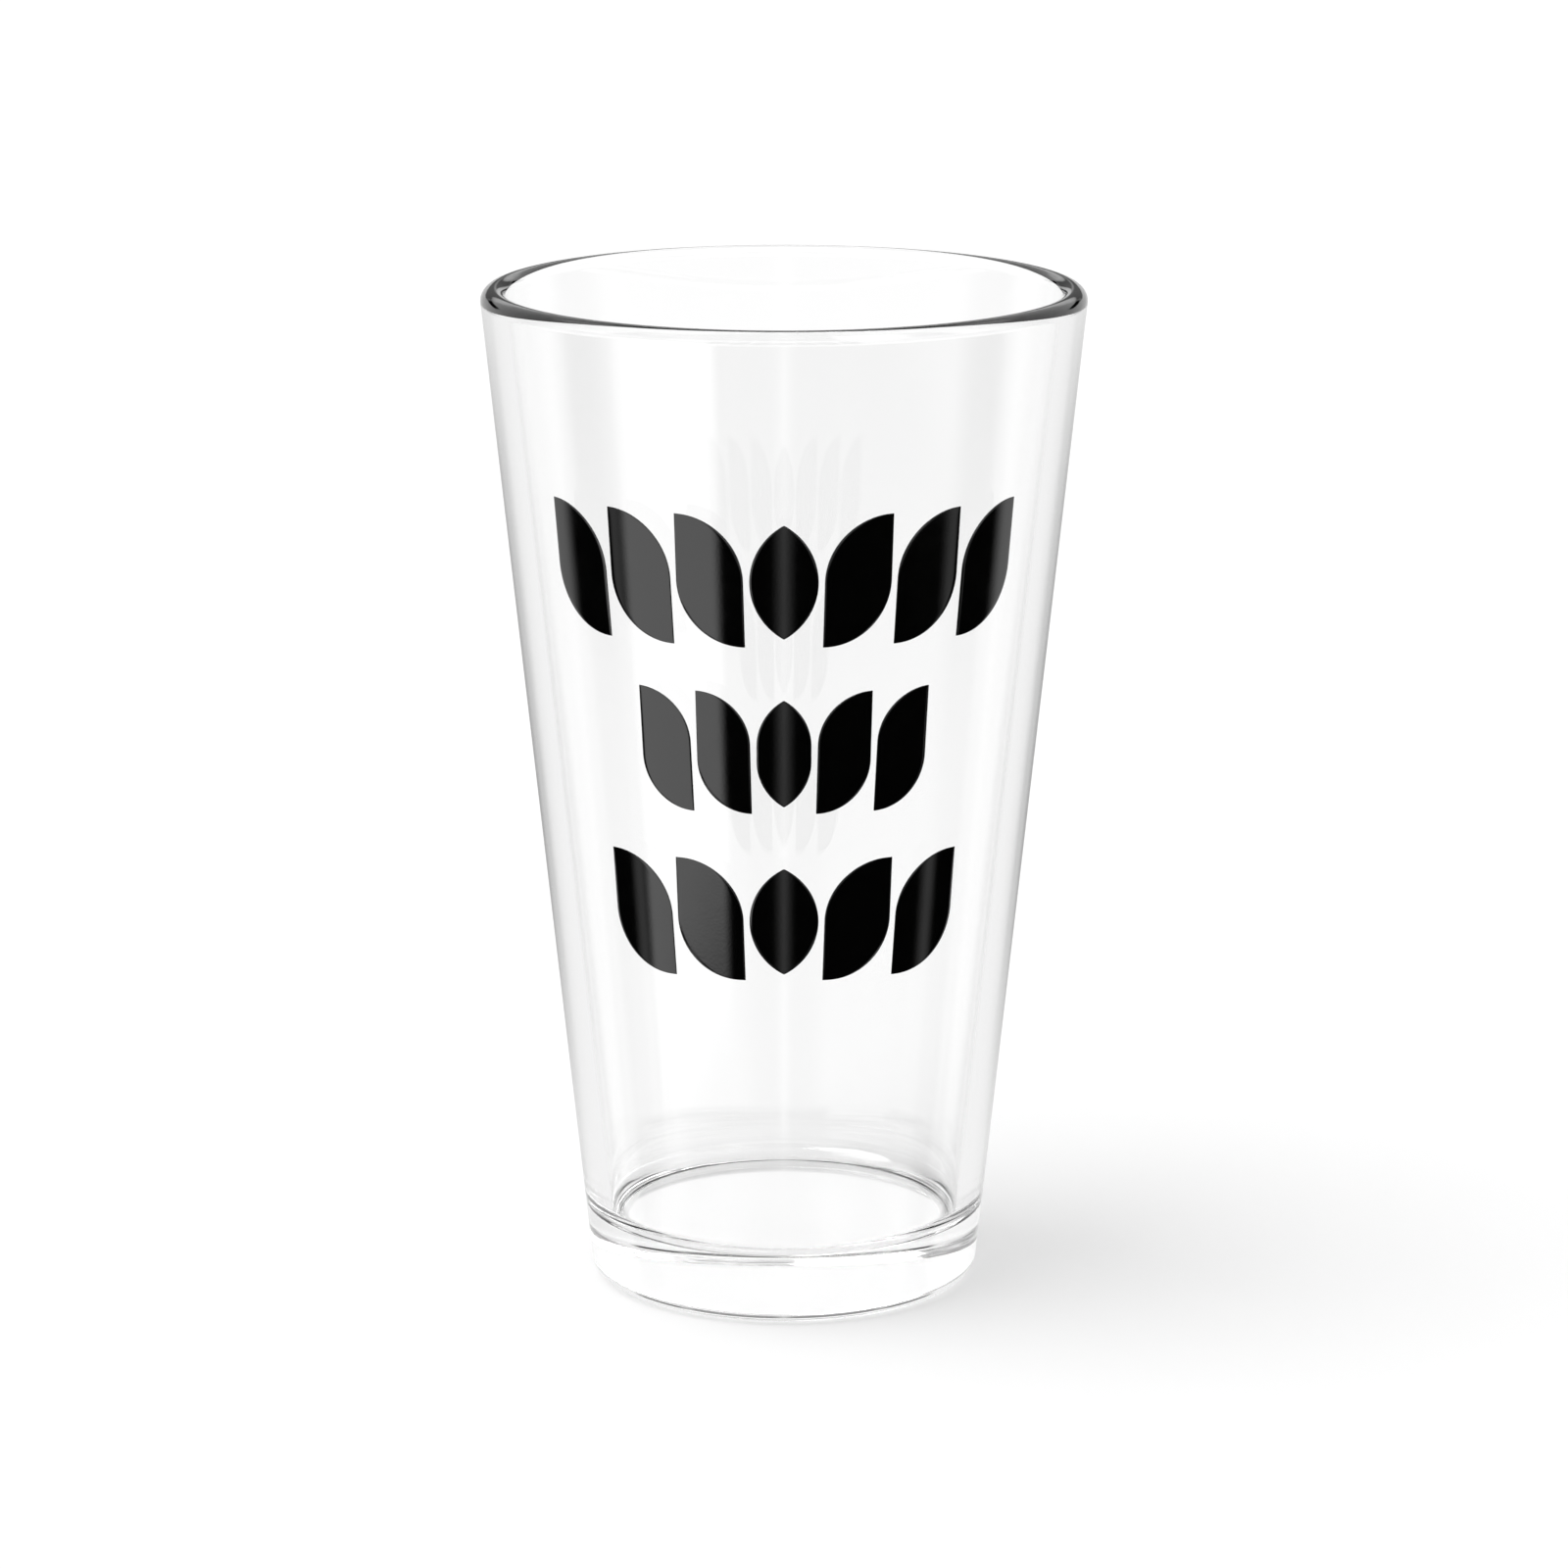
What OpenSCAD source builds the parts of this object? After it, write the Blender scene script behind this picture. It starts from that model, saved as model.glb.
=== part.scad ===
// Conical pint glass: one pressed vessel and, fired onto its outside, three rows
// of separate ink marks. The origin is the centre of the foot on the table, +Z up,
// and the print faces -Y. All sizes are in millimetres.

/* [Glass] */
// Height from the table to the top of the rim
glass_h = 150.4; // [120:0.1:180]
// Widest diameter, across the outside of the rim
rim_d = 88.9; // [76:0.1:100]
// Diameter that the outer cone would have at the table, before its heel is rounded
base_d = 57.8; // [50:0.1:70]
// Thickness of the rim, which is fully rounded over
rim_t = 3.8; // [2.4:0.1:4.4]
// Thickness that the wall would have at the table
wall_t = 3.8; // [3:0.1:6]
// Height of the inner floor above the table
floor_h = 10; // [6:0.1:18]
// Radius of the curve between the inner floor and the wall
fillet_r = 3.5; // [2:0.1:9]

/* [Foot] */
// Radius of the rounded heel, which ends in the flat foot
heel_r = 3.2; // [1:0.1:5]

/* [Print] */
// Thickness of the ink film
ink_t = 0.08; // [0.04:0.01:0.2]
// Height of the middle row's centre above the table
print_z = 88.9; // [70:0.1:100]
// Distance between the centres of two rows
row_pitch = 25.4; // [22:0.1:30]
// Number of marks in each row, top row first
row_marks = [7, 5, 5]; // [3:1:9]
// Width of each row, measured round the glass
row_w = [74.1, 42.7, 53.2]; // [30:0.1:80]
// Height of the marks in each row
row_h = [19.2, 18.1, 18.1]; // [14:0.1:20]
// Clear glass between two neighbouring marks
mark_gap = 0.9; // [0.4:0.1:2]

/* [Hidden] */
$fn = 180;
// Largest angle between two points along a rounded stretch.
ARC_STEP = 7.5;
ROWS = ["top", "middle", "bottom"];
rim_r = rim_t / 2;
rim_x = rim_d / 2 - rim_r;
rim_z = glass_h - rim_r;
// Both cones start at these radii at the table and are tangent to the rim's round.
outer_r0 = base_d / 2;
inner_r0 = outer_r0 - wall_t;
outer_lean = atan((rim_x - outer_r0) / rim_z) + asin(rim_r / norm([rim_x - outer_r0, rim_z]));
inner_lean = atan((rim_x - inner_r0) / rim_z) - asin(rim_r / norm([rim_x - inner_r0, rim_z]));
// The fillet's centre is its radius above the floor and its radius from the inner cone.
fillet_z = floor_h + fillet_r;
fillet_x = inner_r0 + fillet_z * tan(inner_lean) - fillet_r / cos(inner_lean);
// The heel's centre is its radius above the table and its radius from the outer cone.
heel_x = outer_r0 + heel_r * tan(outer_lean) - heel_r / cos(outer_lean);

// Points along an arc, from one angle to another.
function arc(centre, r, from, to) =
    let (steps = ceil(abs(to - from) / ARC_STEP))
    [for (i = [0:steps]) let (a = from + (to - from) * i / steps) centre + r * [cos(a), sin(a)]];
function mark_name(row, i) = str("print_", ROWS[row], "_", i);
// Outer radius of the glass at a height on the straight part of the wall.
function outer_r(z) = outer_r0 + z * tan(outer_lean);
// Height of a row's centre.
function row_z(row) = print_z + (1 - row) * row_pitch;
// Marks share a row's width equally, with a gap between each two.
function mark_w(row) = (row_w[row] - (row_marks[row] - 1) * mark_gap) / row_marks[row];
// Place of a mark in its row: 0 in the middle, negative to the left.
function mark_place(row, i) = i - (row_marks[row] + 1) / 2;
// Angle round the glass from the front to a mark's middle.
function mark_angle(row, i) = mark_place(row, i) * (mark_w(row) + mark_gap) / outer_r(row_z(row)) * 180 / PI;

// A half section: from the middle of the flat foot round the heel, up the outer cone,
// over the rim, down the inner cone and through the fillet to the inner floor.
module vessel_section() {
    polygon(concat(
        [[0, 0]],
        arc([heel_x, heel_r], heel_r, -90, -outer_lean),
        arc([rim_x, rim_z], rim_r, -outer_lean, 180 - inner_lean),
        arc([fillet_x, fillet_z], fillet_r, -inner_lean, -90),
        [[0, floor_h]]
    ));
}

// The pressed glass: wall, rim and heavy base are one piece.
module glass_vessel() {
    color("azure", 0.35)
        rotate_extrude()
            vessel_section();
}

// A leaf is a block with two opposite corners rounded over its whole width.
module leaf(w, h) {
    r = min(w, h / 2);
    polygon(concat(
        [[-w / 2, h / 2]],
        arc([w / 2 - r, h / 2 - r], r, 90, 0),
        [[w / 2, -h / 2]],
        arc([r - w / 2, r - h / 2], r, 270, 180)
    ));
}

// A grain is the part of a leaf that its mirror image shares.
module grain(w, h) {
    intersection() {
        leaf(w, h);
        mirror([1, 0])
            leaf(w, h);
    }
}

// Leaves lean away from the grain in the middle of their row.
module mark_outline(place, w, h) {
    if (place == 0)
        grain(w, h);
    else if (place < 0)
        leaf(w, h);
    else
        mirror([1, 0])
            leaf(w, h);
}

// The film of ink round the glass over one row's height.
module ink_film(row) {
    z0 = row_z(row) - row_h[row];
    z1 = row_z(row) + row_h[row];
    t = ink_t / cos(outer_lean);
    rotate_extrude()
        polygon([
            [outer_r(z0), z0],
            [outer_r(z0) + t, z0],
            [outer_r(z1) + t, z1],
            [outer_r(z1), z1],
        ]);
}

// One fired mark: the film inside the mark's outline, at its angle round the glass.
module print_mark(row, i) {
    color([0.02, 0.02, 0.02])
        intersection() {
            ink_film(row);
            rotate([0, 0, mark_angle(row, i)])
                translate([0, 0, row_z(row)])
                    rotate([90, 0, 0])
                        linear_extrude(height = rim_d)
                            mark_outline(mark_place(row, i), mark_w(row), row_h[row]);
        }
}

glass_vessel();
for (r = [0:2], i = [1:row_marks[r]])
    print_mark(r, i);
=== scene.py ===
"""A pressed pint glass with a fired ink print, standing on a white studio table.

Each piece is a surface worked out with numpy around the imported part, in metres, with the
foot's centre at the origin, +Z up and the print facing -Y.
"""

import math

import bpy
import numpy as np
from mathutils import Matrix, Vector


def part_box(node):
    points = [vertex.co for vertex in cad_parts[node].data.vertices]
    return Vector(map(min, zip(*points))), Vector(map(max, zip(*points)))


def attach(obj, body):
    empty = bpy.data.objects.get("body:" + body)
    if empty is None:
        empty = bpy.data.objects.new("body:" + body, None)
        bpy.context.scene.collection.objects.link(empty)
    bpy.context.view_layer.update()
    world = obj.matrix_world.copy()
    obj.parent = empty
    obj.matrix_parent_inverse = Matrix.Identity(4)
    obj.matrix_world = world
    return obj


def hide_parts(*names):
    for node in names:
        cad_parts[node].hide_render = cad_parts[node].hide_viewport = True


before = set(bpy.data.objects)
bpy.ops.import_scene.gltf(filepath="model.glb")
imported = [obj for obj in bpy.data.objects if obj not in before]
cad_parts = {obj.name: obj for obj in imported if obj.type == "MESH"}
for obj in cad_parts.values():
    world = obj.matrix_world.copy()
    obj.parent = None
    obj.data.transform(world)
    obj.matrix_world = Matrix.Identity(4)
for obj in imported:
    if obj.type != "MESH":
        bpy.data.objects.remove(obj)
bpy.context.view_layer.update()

MM = 0.001

# The glass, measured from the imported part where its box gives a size.
foot_low, rim_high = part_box("glass_vessel")
GLASS_H = rim_high.z
RIM_R = rim_high.x
RIM_T = 3.8 * MM  # thickness of the rim, rounded right over
CONE_R0 = 28.9 * MM  # radius that the outer cone would have at the table
WALL_T = 3.8 * MM  # thickness that the wall would have at the table
FLOOR_H = 10 * MM  # inner floor above the table
FILLET_R = 3.5 * MM  # curve between the inner floor and the wall
HEEL_R = 3.2 * MM  # curve between the wall and the foot
POLE_R = 0.1 * MM  # radius of the small flat caps that close the middle

# The print, in rows from the top down: each row's name, number of marks, width and height.
ROWS = [
    ("top", 7, 74.1 * MM, 19.2 * MM),
    ("middle", 5, 42.7 * MM, 18.1 * MM),
    ("bottom", 5, 53.2 * MM, 18.1 * MM),
]
PRINT_Z = 88.9 * MM  # height of the middle row's centre
ROW_PITCH = 25.4 * MM  # distance between the centres of two rows
MARK_GAP = 0.9 * MM  # clear glass between two marks
INK_T = 0.08 * MM  # thickness of the ink film
INK_SINK = 0.02 * MM  # how far the film's back lies inside the glass
INK_EDGE = 0.35  # share of its thickness that the film has right at its edge
INK_SHOULDER = 0.25 * MM  # distance over which it swells to its full thickness
INK_TIP = 0.15 * MM  # width at which a mark's tip ends
TIP_STOP = 0.03  # how far short of a quarter turn the heights of a mark stop


# ---------------------------------------------------------------- small tools


def linear(sheet_hex):
    """An sRGB hex colour as linear red, green, blue and alpha."""
    srgb = np.array([int(sheet_hex[i : i + 2], 16) for i in (1, 3, 5)]) / 255
    low, high = srgb / 12.92, ((srgb + 0.055) / 1.055) ** 2.4
    return (*np.where(srgb <= 0.04045, low, high), 1.0)


def add(tree, kind, links=(), **settings):
    """Adds a node. A setting names a property or an input, and gives it a value.

    Links are (input, value) pairs, where the input is a name or a place in the list of inputs,
    and the value is a socket to join to it or a number to put in it.
    """
    node = tree.nodes.new(kind)
    for name, value in settings.items():
        if name in node.bl_rna.properties:
            setattr(node, name, value)
        else:
            node.inputs[name.replace("_", " ")].default_value = value
    for name, value in links:
        if isinstance(value, bpy.types.NodeSocket):
            tree.links.new(node.inputs[name], value)
        else:
            node.inputs[name].default_value = value
    return node


def skin(name, rings, normals=None):
    """A closed mesh from rings of points, an array (rings, points, 3).

    Ring i's point j joins ring i's point j+1 and ring i+1's points j and j+1 in one quad, and
    the first and last rings are closed by flat caps. Rings run so that the faces point out.
    """
    count, around = rings.shape[:2]
    index = np.arange(count * around).reshape(count, around)
    after = np.roll(index, -1, axis=1)
    quads = np.stack([index[:-1], after[:-1], after[1:], index[1:]], axis=-1).reshape(-1, 4)
    corners = np.concatenate([quads.ravel(), index[0][::-1], index[-1]])
    starts = np.concatenate([np.arange(len(quads)) * 4, len(quads) * 4 + np.array([0, around])])
    mesh = bpy.data.meshes.new(name)
    mesh.vertices.add(count * around)
    mesh.vertices.foreach_set("co", rings.reshape(-1).astype(np.float32))
    mesh.loops.add(len(corners))
    mesh.loops.foreach_set("vertex_index", corners.astype(np.int32))
    mesh.polygons.add(len(starts))
    mesh.polygons.foreach_set("loop_start", starts.astype(np.int32))
    mesh.update(calc_edges=True)
    mesh.validate()
    if normals is not None:
        mesh.normals_split_custom_set_from_vertices(normals.reshape(-1, 3).tolist())
    piece = bpy.data.objects.new(name, mesh)
    bpy.context.collection.objects.link(piece)
    return piece


# ---------------------------------------------------------------- glass vessel


def cone_lean(r0, side):
    """Angle from upright of a cone that has radius r0 at the table and touches the rim's round.

    It is the angle of the line to the round's centre, turned by the angle whose sine is the
    round's radius over that distance, outwards (side 1) or inwards (side -1).
    """
    run, rise = RIM_R - RIM_T / 2 - r0, GLASS_H - RIM_T / 2
    return math.atan2(run, rise) + side * math.asin(RIM_T / 2 / math.hypot(run, rise))


OUTER_LEAN = cone_lean(CONE_R0, 1)
INNER_LEAN = cone_lean(CONE_R0 - WALL_T, -1)


def outer_radius(z):
    """Radius of the outer cone at a height: it grows by the tangent of its lean."""
    return CONE_R0 + z * math.tan(OUTER_LEAN)


def arc(centre, radius, start, end, step=math.radians(4)):
    """Points and outward normals on an arc: the centre plus the radius times (cos a, sin a)."""
    a = np.linspace(start, end, math.ceil(abs(end - start) / step) + 1)
    n = np.stack([np.cos(a), np.sin(a)], axis=1)
    return np.array(centre) + radius * n, n


def line(start, end, count):
    """Points evenly spaced between two points, both ends left out, and the normal on their right."""
    t = np.linspace(0, 1, count + 2)[1:-1, None]
    along = np.array(end) - np.array(start)
    n = np.array([along[1], -along[0]]) / np.linalg.norm(along)
    return np.array(start) + t * along, np.tile(n, (count, 1))


def vessel_profile():
    """Half section of the vessel from the foot's centre, up the outside, down to the inner floor."""
    rim = (RIM_R - RIM_T / 2, GLASS_H - RIM_T / 2)
    heel = (outer_radius(HEEL_R) - HEEL_R / math.cos(OUTER_LEAN), HEEL_R)
    fillet_z = FLOOR_H + FILLET_R
    wall_r = CONE_R0 - WALL_T + fillet_z * math.tan(INNER_LEAN)
    fillet = (wall_r - FILLET_R / math.cos(INNER_LEAN), fillet_z)
    up, down = -math.pi / 2, math.pi - INNER_LEAN
    heel_arc = arc(heel, HEEL_R, up, -OUTER_LEAN)
    rim_arc = arc(rim, RIM_T / 2, -OUTER_LEAN, down, math.radians(6))
    fillet_arc = arc(fillet, FILLET_R, -INNER_LEAN, up)
    fillet_arc = (fillet_arc[0], -fillet_arc[1])
    foot_middle, floor_middle = (POLE_R, 0), (POLE_R, FLOOR_H)
    parts = [
        (np.array([foot_middle]), np.array([[0.0, -1.0]])),
        line(foot_middle, heel_arc[0][0], 12),
        heel_arc,
        line(heel_arc[0][-1], rim_arc[0][0], 30),
        rim_arc,
        line(rim_arc[0][-1], fillet_arc[0][0], 30),
        fillet_arc,
        line(fillet_arc[0][-1], floor_middle, 12),
        (np.array([floor_middle]), np.array([[0.0, 1.0]])),
    ]
    return tuple(np.concatenate(part) for part in zip(*parts))


def glass_vessel(around=288):
    """The pressed vessel: its half section turned about the upright axis.

    A point at radius r and angle a stands at (r cos a, r sin a, z), and its normal turns with it.
    """
    section, slope = vessel_profile()
    a = np.linspace(0, 2 * math.pi, around, endpoint=False)
    turn = np.stack([np.cos(a), np.sin(a), np.ones(around)], axis=-1)
    rings = section[:, None, [0, 0, 1]] * turn
    normals = slope[:, None, [0, 0, 1]] * turn
    piece = skin("glass_vessel_skin", rings, normals)
    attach(piece, "root")
    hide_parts("glass_vessel")
    return piece


# ---------------------------------------------------------------- ink marks


def leaf_edges(v, w, h):
    """Left and right edges, at heights v, of a block with two opposite corners rounded.

    The corner's circle has radius r = min(w, h/2), so above h/2 - r the right edge draws in to
    w/2 - r + sqrt(r^2 - (v - h/2 + r)^2), and the left edge is the same turned half round.
    """
    r = min(w, h / 2)

    def right(v):
        rise = np.clip(v - h / 2 + r, 0, r)
        return w / 2 - r + np.sqrt(r**2 - rise**2)

    return -right(-v), right(v)


def mark_edges(v, w, h, place):
    """Edges of a mark: a leaf, its mirror image on the right, or what both share in the middle."""
    left, right = leaf_edges(v, w, h)
    if place < 0:
        return left, right
    if place > 0:
        return -right, -left
    return np.maximum(left, -right), np.minimum(right, -left)


def ink_mark(name, row_z, angle, w, h, place, tall=72, wide=14):
    """One fired mark: its outline bent round the cone, with a thickness that falls off at its edge.

    Heights are the mark's reach times sin t, so they crowd at the tips, and t stops a little
    short of a quarter turn. Across a height the point goes from the left edge to the right one,
    out at the cone's radius plus the film's thickness, and comes back just inside the glass.
    The film swells from its edge as a quarter circle does: sqrt(1 - (1 - e)^2), where e is the
    distance from the edge in shoulders. A point u across and at radius R stands at
    (u, -sqrt(R^2 - u^2)) before the mark is turned to its angle.
    """
    r = min(w, h / 2)
    reach = h / 2 if place else h / 2 - r + math.sqrt(r**2 - (r - w / 2) ** 2)
    t = np.linspace(-1, 1, tall) * (math.pi / 2 - TIP_STOP)
    v = reach * np.sin(t)
    left, right = mark_edges(v, w, h, place)
    keep = right - left > INK_TIP
    v, left, right = v[keep], left[keep], right[keep]
    s = (1 - np.cos(np.linspace(0, math.pi, wide))) / 2
    u = left[:, None] + (right - left)[:, None] * s
    edge = np.minimum(u - left[:, None], right[:, None] - u)
    swell = np.sqrt(1 - (1 - np.clip(edge / INK_SHOULDER, 0, 1)) ** 2)
    glass = outer_radius(row_z + v)[:, None]
    front = glass + INK_T * (INK_EDGE + (1 - INK_EDGE) * swell)
    back = np.broadcast_to(glass - INK_SINK, front.shape)
    u = np.concatenate([u, u[:, ::-1]], axis=1)
    radius = np.concatenate([front, back[:, ::-1]], axis=1)
    y = -np.sqrt(radius**2 - u**2)
    z = np.broadcast_to((row_z + v)[:, None], u.shape)
    x = u * math.cos(angle) - y * math.sin(angle)
    y = u * math.sin(angle) + y * math.cos(angle)
    piece = skin(name + "_ink", np.stack([x, y, z], axis=-1))
    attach(piece, "root")
    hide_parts(name)
    return piece


def print_rows():
    """All the marks: each row shares its width equally, with a gap of clear glass between two."""
    marks = []
    for row, (row_name, count, row_w, h) in enumerate(ROWS):
        z = PRINT_Z + (1 - row) * ROW_PITCH
        w = (row_w - (count - 1) * MARK_GAP) / count
        for i in range(count):
            place = i - (count - 1) / 2
            angle = place * (w + MARK_GAP) / outer_radius(z)
            marks.append(ink_mark(f"print_{row_name}_{i + 1}", z, angle, w, h, place))
    return marks


# ---------------------------------------------------------------- materials


def new_material(name):
    """An empty material and its node tree."""
    material = bpy.data.materials.new(name)
    material.use_nodes = True
    tree = material.node_tree
    tree.nodes.clear()
    return material, tree


def pressed_glass():
    """Soda-lime glass, pressed in a mould and fire polished.

    Clear and neutral, and sharp in its reflections. The mould leaves a slow ripple about 12 mm
    long and a thousandth of a millimetre high, which makes straight reflections waver a little.
    """
    material, tree = new_material("pressed fire-polished soda-lime glass")
    place = add(tree, "ShaderNodeTexCoord").outputs["Object"]
    ripple = add(tree, "ShaderNodeTexNoise", [("Vector", place)], Scale=1 / (12 * MM), Detail=1.0)
    bump = add(
        tree, "ShaderNodeBump", [("Height", ripple.outputs[0])], Strength=1.0, Distance=0.004 * MM
    )
    shader = add(
        tree,
        "ShaderNodeBsdfPrincipled",
        [("Normal", bump.outputs[0])],
        Base_Color=linear("#FEFEFE"),
        IOR=1.52,
        Roughness=0.0,
        Transmission_Weight=1.0,
    )
    add(tree, "ShaderNodeOutputMaterial", [("Surface", shader.outputs[0])])
    return material


def fired_ink():
    """Black glass enamel, screen printed and fired until it flows.

    Opaque jet black with a wet gloss from its heavy, high-index flux. The screen's mesh leaves
    the faintest orange peel, drawn 0.4 mm across, which is as coarse as it needs to show. The
    pigment's grain varies the gloss a little.
    """
    material, tree = new_material("fired black glass enamel")
    place = add(tree, "ShaderNodeTexCoord").outputs["Object"]
    peel = add(tree, "ShaderNodeTexNoise", [("Vector", place)], Scale=1 / (0.4 * MM), Detail=2.0)
    bump = add(
        tree, "ShaderNodeBump", [("Height", peel.outputs[0])], Strength=1.0, Distance=0.002 * MM
    )
    grain = add(tree, "ShaderNodeTexNoise", [("Vector", place)], Scale=1 / (3 * MM), Detail=3.0)
    gloss = add(
        tree, "ShaderNodeMapRange", [("Value", grain.outputs[0])], To_Min=0.04, To_Max=0.10
    )
    shader = add(
        tree,
        "ShaderNodeBsdfPrincipled",
        [("Normal", bump.outputs[0]), ("Roughness", gloss.outputs[0])],
        Base_Color=linear("#020202"),
        IOR=1.75,
    )
    add(tree, "ShaderNodeOutputMaterial", [("Surface", shader.outputs[0])])
    return material


# ---------------------------------------------------------------- studio

# The tent round the glass: even white, with panels hung in it. Each panel is a name, a side, its
# azimuths from the front, its elevations, how soft its edges are both ways, and how bright it
# is. Angles are in degrees, and a later panel hangs in front of the ones before it.
# The glow at table height lights the lower wall through its back, and the dark room over it
# greys the upper wall. The dark band keeps the ink black, and the strip light crosses it on the
# left. The flags and slots draw the dark lines of the rim, the wall's edges and the base.
TENT_LEVEL = 0.9
PANELS = [
    ("front well", "both", (0, 40), (-60, -31), (24, 10), 0.0),
    ("dark band", "both", (0, 74), (-31, -19), (12, 3), 0.0),
    ("middle band", "both", (0, 76), (-19, -12), (12, 4), 0.15),
    ("glow", "both", (0, 84), (-10, -2), (18, 8), 1.4),
    ("glow middle", "both", (0, 22), (-12, 0), (16, 8), 0.9),
    ("side glow", "both", (84, 124), (-12, -5), (18, 5), 1.2),
    ("dark room", "both", (0, 84), (1, 12), (16, 12), 0.15),
    ("side dark room", "both", (84, 116), (-3, 9), (16, 6), 0.1),
    ("grey room", "both", (0, 46), (12, 19), (10, 8), 0.3),
    ("side grey room", "both", (76, 108), (9, 15), (10, 6), 0.1),
    ("flag", "both", (45, 72), (8, 44), (8, 6), 0.0),
    ("front top hole", "both", (10, 24), (46, 58), (6, 6), 0.45),
    ("zenith", "both", (0, 180), (62, 90), (5, 10), 1.2),
    ("overhead side", "both", (104, 148), (42, 62), (10, 8), 1.8),
    ("back slot", "both", (141, 158), (8, 14), (6, 3), 0.0),
    ("back slot middle", "both", (158, 180), (6, 14), (6, 2), 0.2),
    ("back light", "both", (158, 180), (16, 23), (6, 3), 1.3),
    ("back top hole", "both", (157, 180), (44, 60), (6, 6), 0.1),
    ("silhouette flag", "both", (160, 180), (-17, -10), (16, 4), 0.35),
    ("side flag", "both", (76, 100), (-30, -16), (8, 4), 0.0),
    ("strip light", "left", (28, 70), (-27, -12), (5, 3), 1.25),
]

# Seen straight, or through the glass between these elevations, the tent is a white backdrop.
BACKDROP = (-14, 6)
BACKDROP_SOFT = 3

# The table: half its width, the height of its top, and its own even glow, with a painted pool
# of light under the foot where the glow is brighter.
TABLE_HALF = 6000 * MM
TABLE_TOP = 0.02 * MM
TABLE_GLOW = 0.54
# A painted pool of light under the foot: its glow, its radius and how far it takes to fade out.
PAINTED_SPOT_GLOW = 0.88
PAINTED_SPOT_R = 25 * MM
PAINTED_SPOT_SOFT = 4 * MM  # how far the spot takes to fade out

# The key light: the direction it comes from, its strength and how wide it looks.
KEY_FROM = (-0.45, -0.12, 0.9)
KEY_STRENGTH = 3.8
KEY_WIDE = math.radians(50)

# The camera: its lens, where it stands, and how far it tilts down.
LENS = 129.65
CAMERA_PLACE = (0, -820.7 * MM, 272.1 * MM)
CAMERA_TILT = math.radians(13.4788)


def table_material():
    """Opal acrylic, lit from below all over, with a painted pool of light under the foot.

    Its matt face also takes light from above, so what stands on it shades it. The painted pool of
    light keeps the inner floor white. A mirror image passes through the acrylic, so the glass
    shows the tent all round, as it would on a clear sheet.
    """
    material, tree = new_material("opal acrylic")
    place = add(tree, "ShaderNodeTexCoord").outputs["Object"]
    away = add(tree, "ShaderNodeVectorMath", [(0, place)], operation="LENGTH")
    # Painted pool of light: the glow rises to a brighter level under the foot and fades out to the
    # table's even glow.
    painted_spot = add(
        tree,
        "ShaderNodeMapRange",
        [("Value", away.outputs["Value"])],
        interpolation_type="SMOOTHSTEP",
        From_Min=PAINTED_SPOT_R,
        From_Max=PAINTED_SPOT_R + PAINTED_SPOT_SOFT,
        To_Min=PAINTED_SPOT_GLOW,
        To_Max=TABLE_GLOW,
    )
    glow = add(
        tree, "ShaderNodeEmission", [("Strength", painted_spot.outputs[0])], Color=linear("#FFFFFF")
    )
    matt = add(tree, "ShaderNodeBsdfDiffuse", Color=linear("#8C8C8C"))
    opal = add(tree, "ShaderNodeAddShader", [(0, glow.outputs[0]), (1, matt.outputs[0])])
    clear = add(tree, "ShaderNodeBsdfTransparent")
    path = add(tree, "ShaderNodeLightPath").outputs
    mirrored = add(
        tree, "ShaderNodeMath", [(0, path["Glossy Depth"]), (1, 0.5)], operation="GREATER_THAN"
    )
    both = add(
        tree,
        "ShaderNodeMixShader",
        [("Fac", mirrored.outputs[0]), (1, opal.outputs[0]), (2, clear.outputs[0])],
    )
    add(tree, "ShaderNodeOutputMaterial", [("Surface", both.outputs[0])])
    return material


def studio_table():
    """A wide flat table. Its top wets the foot, so no air gap mirrors inside the glass."""
    half, top = TABLE_HALF, TABLE_TOP
    mesh = bpy.data.meshes.new("studio_table")
    corners = [(-half, -half, top), (half, -half, top), (half, half, top), (-half, half, top)]
    mesh.from_pydata(corners, [], [(0, 1, 2, 3)])
    table = bpy.data.objects.new("studio_table", mesh)
    bpy.context.collection.objects.link(table)
    mesh.materials.append(table_material())
    return table


def window(tree, angle, low, high, soft):
    """One between two angles, falling smoothly to zero over the soft width about each."""
    middle, half = (low + high) / 2, (high - low) / 2
    off = add(tree, "ShaderNodeMath", [(0, angle), (1, math.radians(middle))], operation="SUBTRACT")
    away = add(tree, "ShaderNodeMath", [(0, off.outputs[0])], operation="ABSOLUTE")
    return add(
        tree,
        "ShaderNodeMapRange",
        [("Value", away.outputs[0])],
        interpolation_type="SMOOTHSTEP",
        From_Min=math.radians(half + soft / 2),
        From_Max=math.radians(half - soft / 2),
    ).outputs[0]


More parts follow.
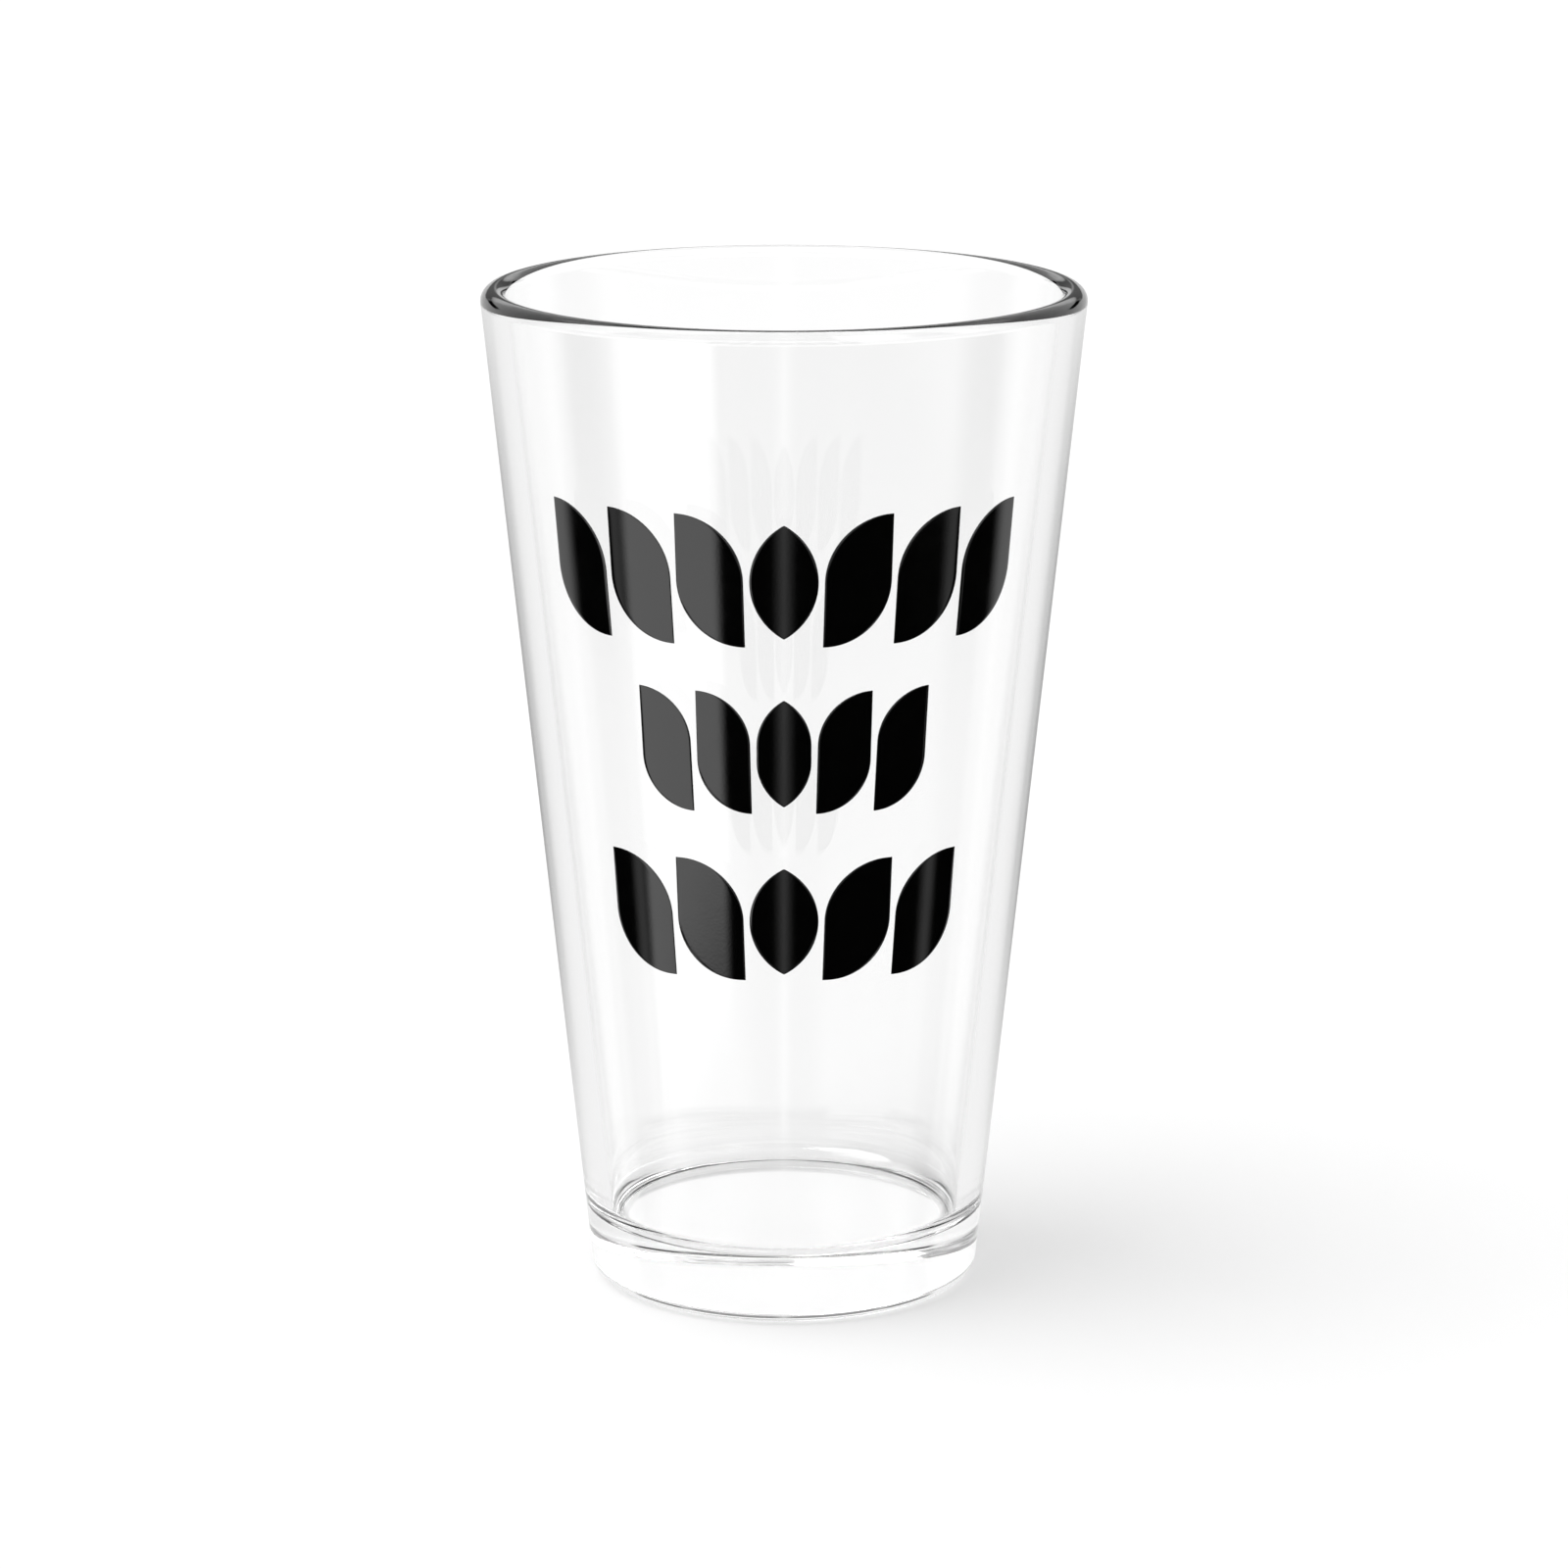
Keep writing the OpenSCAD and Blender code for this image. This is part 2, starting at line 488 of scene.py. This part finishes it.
def studio_world():
    """The tent as a world: each direction's elevation and azimuth pick the panels it meets.

    The elevation is the angle whose sine is z, and the azimuth the angle of (-y, x). A panel
    takes its share of the level behind it: level = level * (1 - share) + share * brightness.
    """
    world = bpy.data.worlds.new("studio")
    world.use_nodes = True
    bpy.context.scene.world = world
    tree = world.node_tree
    tree.nodes.clear()
    toward = add(tree, "ShaderNodeTexCoord").outputs["Generated"]
    x, y, z = add(tree, "ShaderNodeSeparateXYZ", [("Vector", toward)]).outputs
    elevation = add(tree, "ShaderNodeMath", [(0, z)], operation="ARCSINE")
    front = add(tree, "ShaderNodeMath", [(0, y), (1, -1)], operation="MULTIPLY")
    right = add(tree, "ShaderNodeMath", [(0, x), (1, front.outputs[0])], operation="ARCTAN2")
    left = add(tree, "ShaderNodeMath", [(0, right.outputs[0]), (1, -1)], operation="MULTIPLY")
    both = add(tree, "ShaderNodeMath", [(0, right.outputs[0])], operation="ABSOLUTE")
    azimuth = {"left": left, "both": both}
    level = TENT_LEVEL
    for _, side, azimuths, elevations, soft, brightness in PANELS:
        across = window(tree, azimuth[side].outputs[0], *azimuths, soft[0])
        up = window(tree, elevation.outputs[0], *elevations, soft[1])
        share = add(tree, "ShaderNodeMath", [(0, across), (1, up)], operation="MULTIPLY")
        hung = add(
            tree,
            "ShaderNodeMix",
            [("Factor", share.outputs[0]), ("A", level), ("B", brightness)],
            data_type="FLOAT",
        )
        level = hung.outputs["Result"]
    path = add(tree, "ShaderNodeLightPath").outputs
    unmirrored = add(
        tree, "ShaderNodeMath", [(0, path["Glossy Depth"]), (1, 0.5)], operation="LESS_THAN"
    )
    horizon = window(tree, elevation.outputs[0], *BACKDROP, BACKDROP_SOFT)
    through = add(
        tree, "ShaderNodeMath", [(0, unmirrored.outputs[0]), (1, horizon)], operation="MULTIPLY"
    )
    white = add(
        tree,
        "ShaderNodeMath",
        [(0, through.outputs[0]), (1, path["Is Camera Ray"])],
        operation="MAXIMUM",
    )
    seen = add(tree, "ShaderNodeMath", [(0, level), (1, white.outputs[0])], operation="MAXIMUM")
    back = add(
        tree, "ShaderNodeBackground", [("Strength", seen.outputs[0])], Color=linear("#FFFFFF")
    )
    add(tree, "ShaderNodeOutputWorld", [("Surface", back.outputs[0])])


def studio_key():
    """A wide soft key from the upper left, far off, which gives the glass its soft shadow."""
    lamp = bpy.data.lights.new("soft key", "SUN")
    lamp.angle = KEY_WIDE
    lamp.energy = KEY_STRENGTH
    key = bpy.data.objects.new("soft key", lamp)
    key.rotation_euler = (-Vector(KEY_FROM)).to_track_quat("-Z", "Y").to_euler()
    key.visible_glossy = False
    bpy.context.collection.objects.link(key)
    return key


def studio_camera():
    """A long lens in front of the print, a little above the rim and tilted down."""
    lens = bpy.data.cameras.new("camera")
    lens.lens = LENS
    lens.sensor_width = 36
    lens.clip_start, lens.clip_end = 0.01, 100
    camera = bpy.data.objects.new("camera", lens)
    camera.location = CAMERA_PLACE
    camera.rotation_euler = (math.pi / 2 - CAMERA_TILT, 0, 0)
    bpy.context.collection.objects.link(camera)
    bpy.context.scene.camera = camera
    return camera


# ---------------------------------------------------------------- the scene

vessel = glass_vessel()
vessel.data.materials.append(pressed_glass())
ink = fired_ink()
for mark in print_rows():
    mark.data.materials.append(ink)
    mark.data.shade_smooth()

studio_table()
studio_world()
studio_key()
studio_camera()

scene = bpy.context.scene
scene.view_settings.view_transform = "Standard"
scene.cycles.max_bounces = 32
scene.cycles.transmission_bounces = 32
scene.cycles.glossy_bounces = 16
scene.cycles.diffuse_bounces = 6
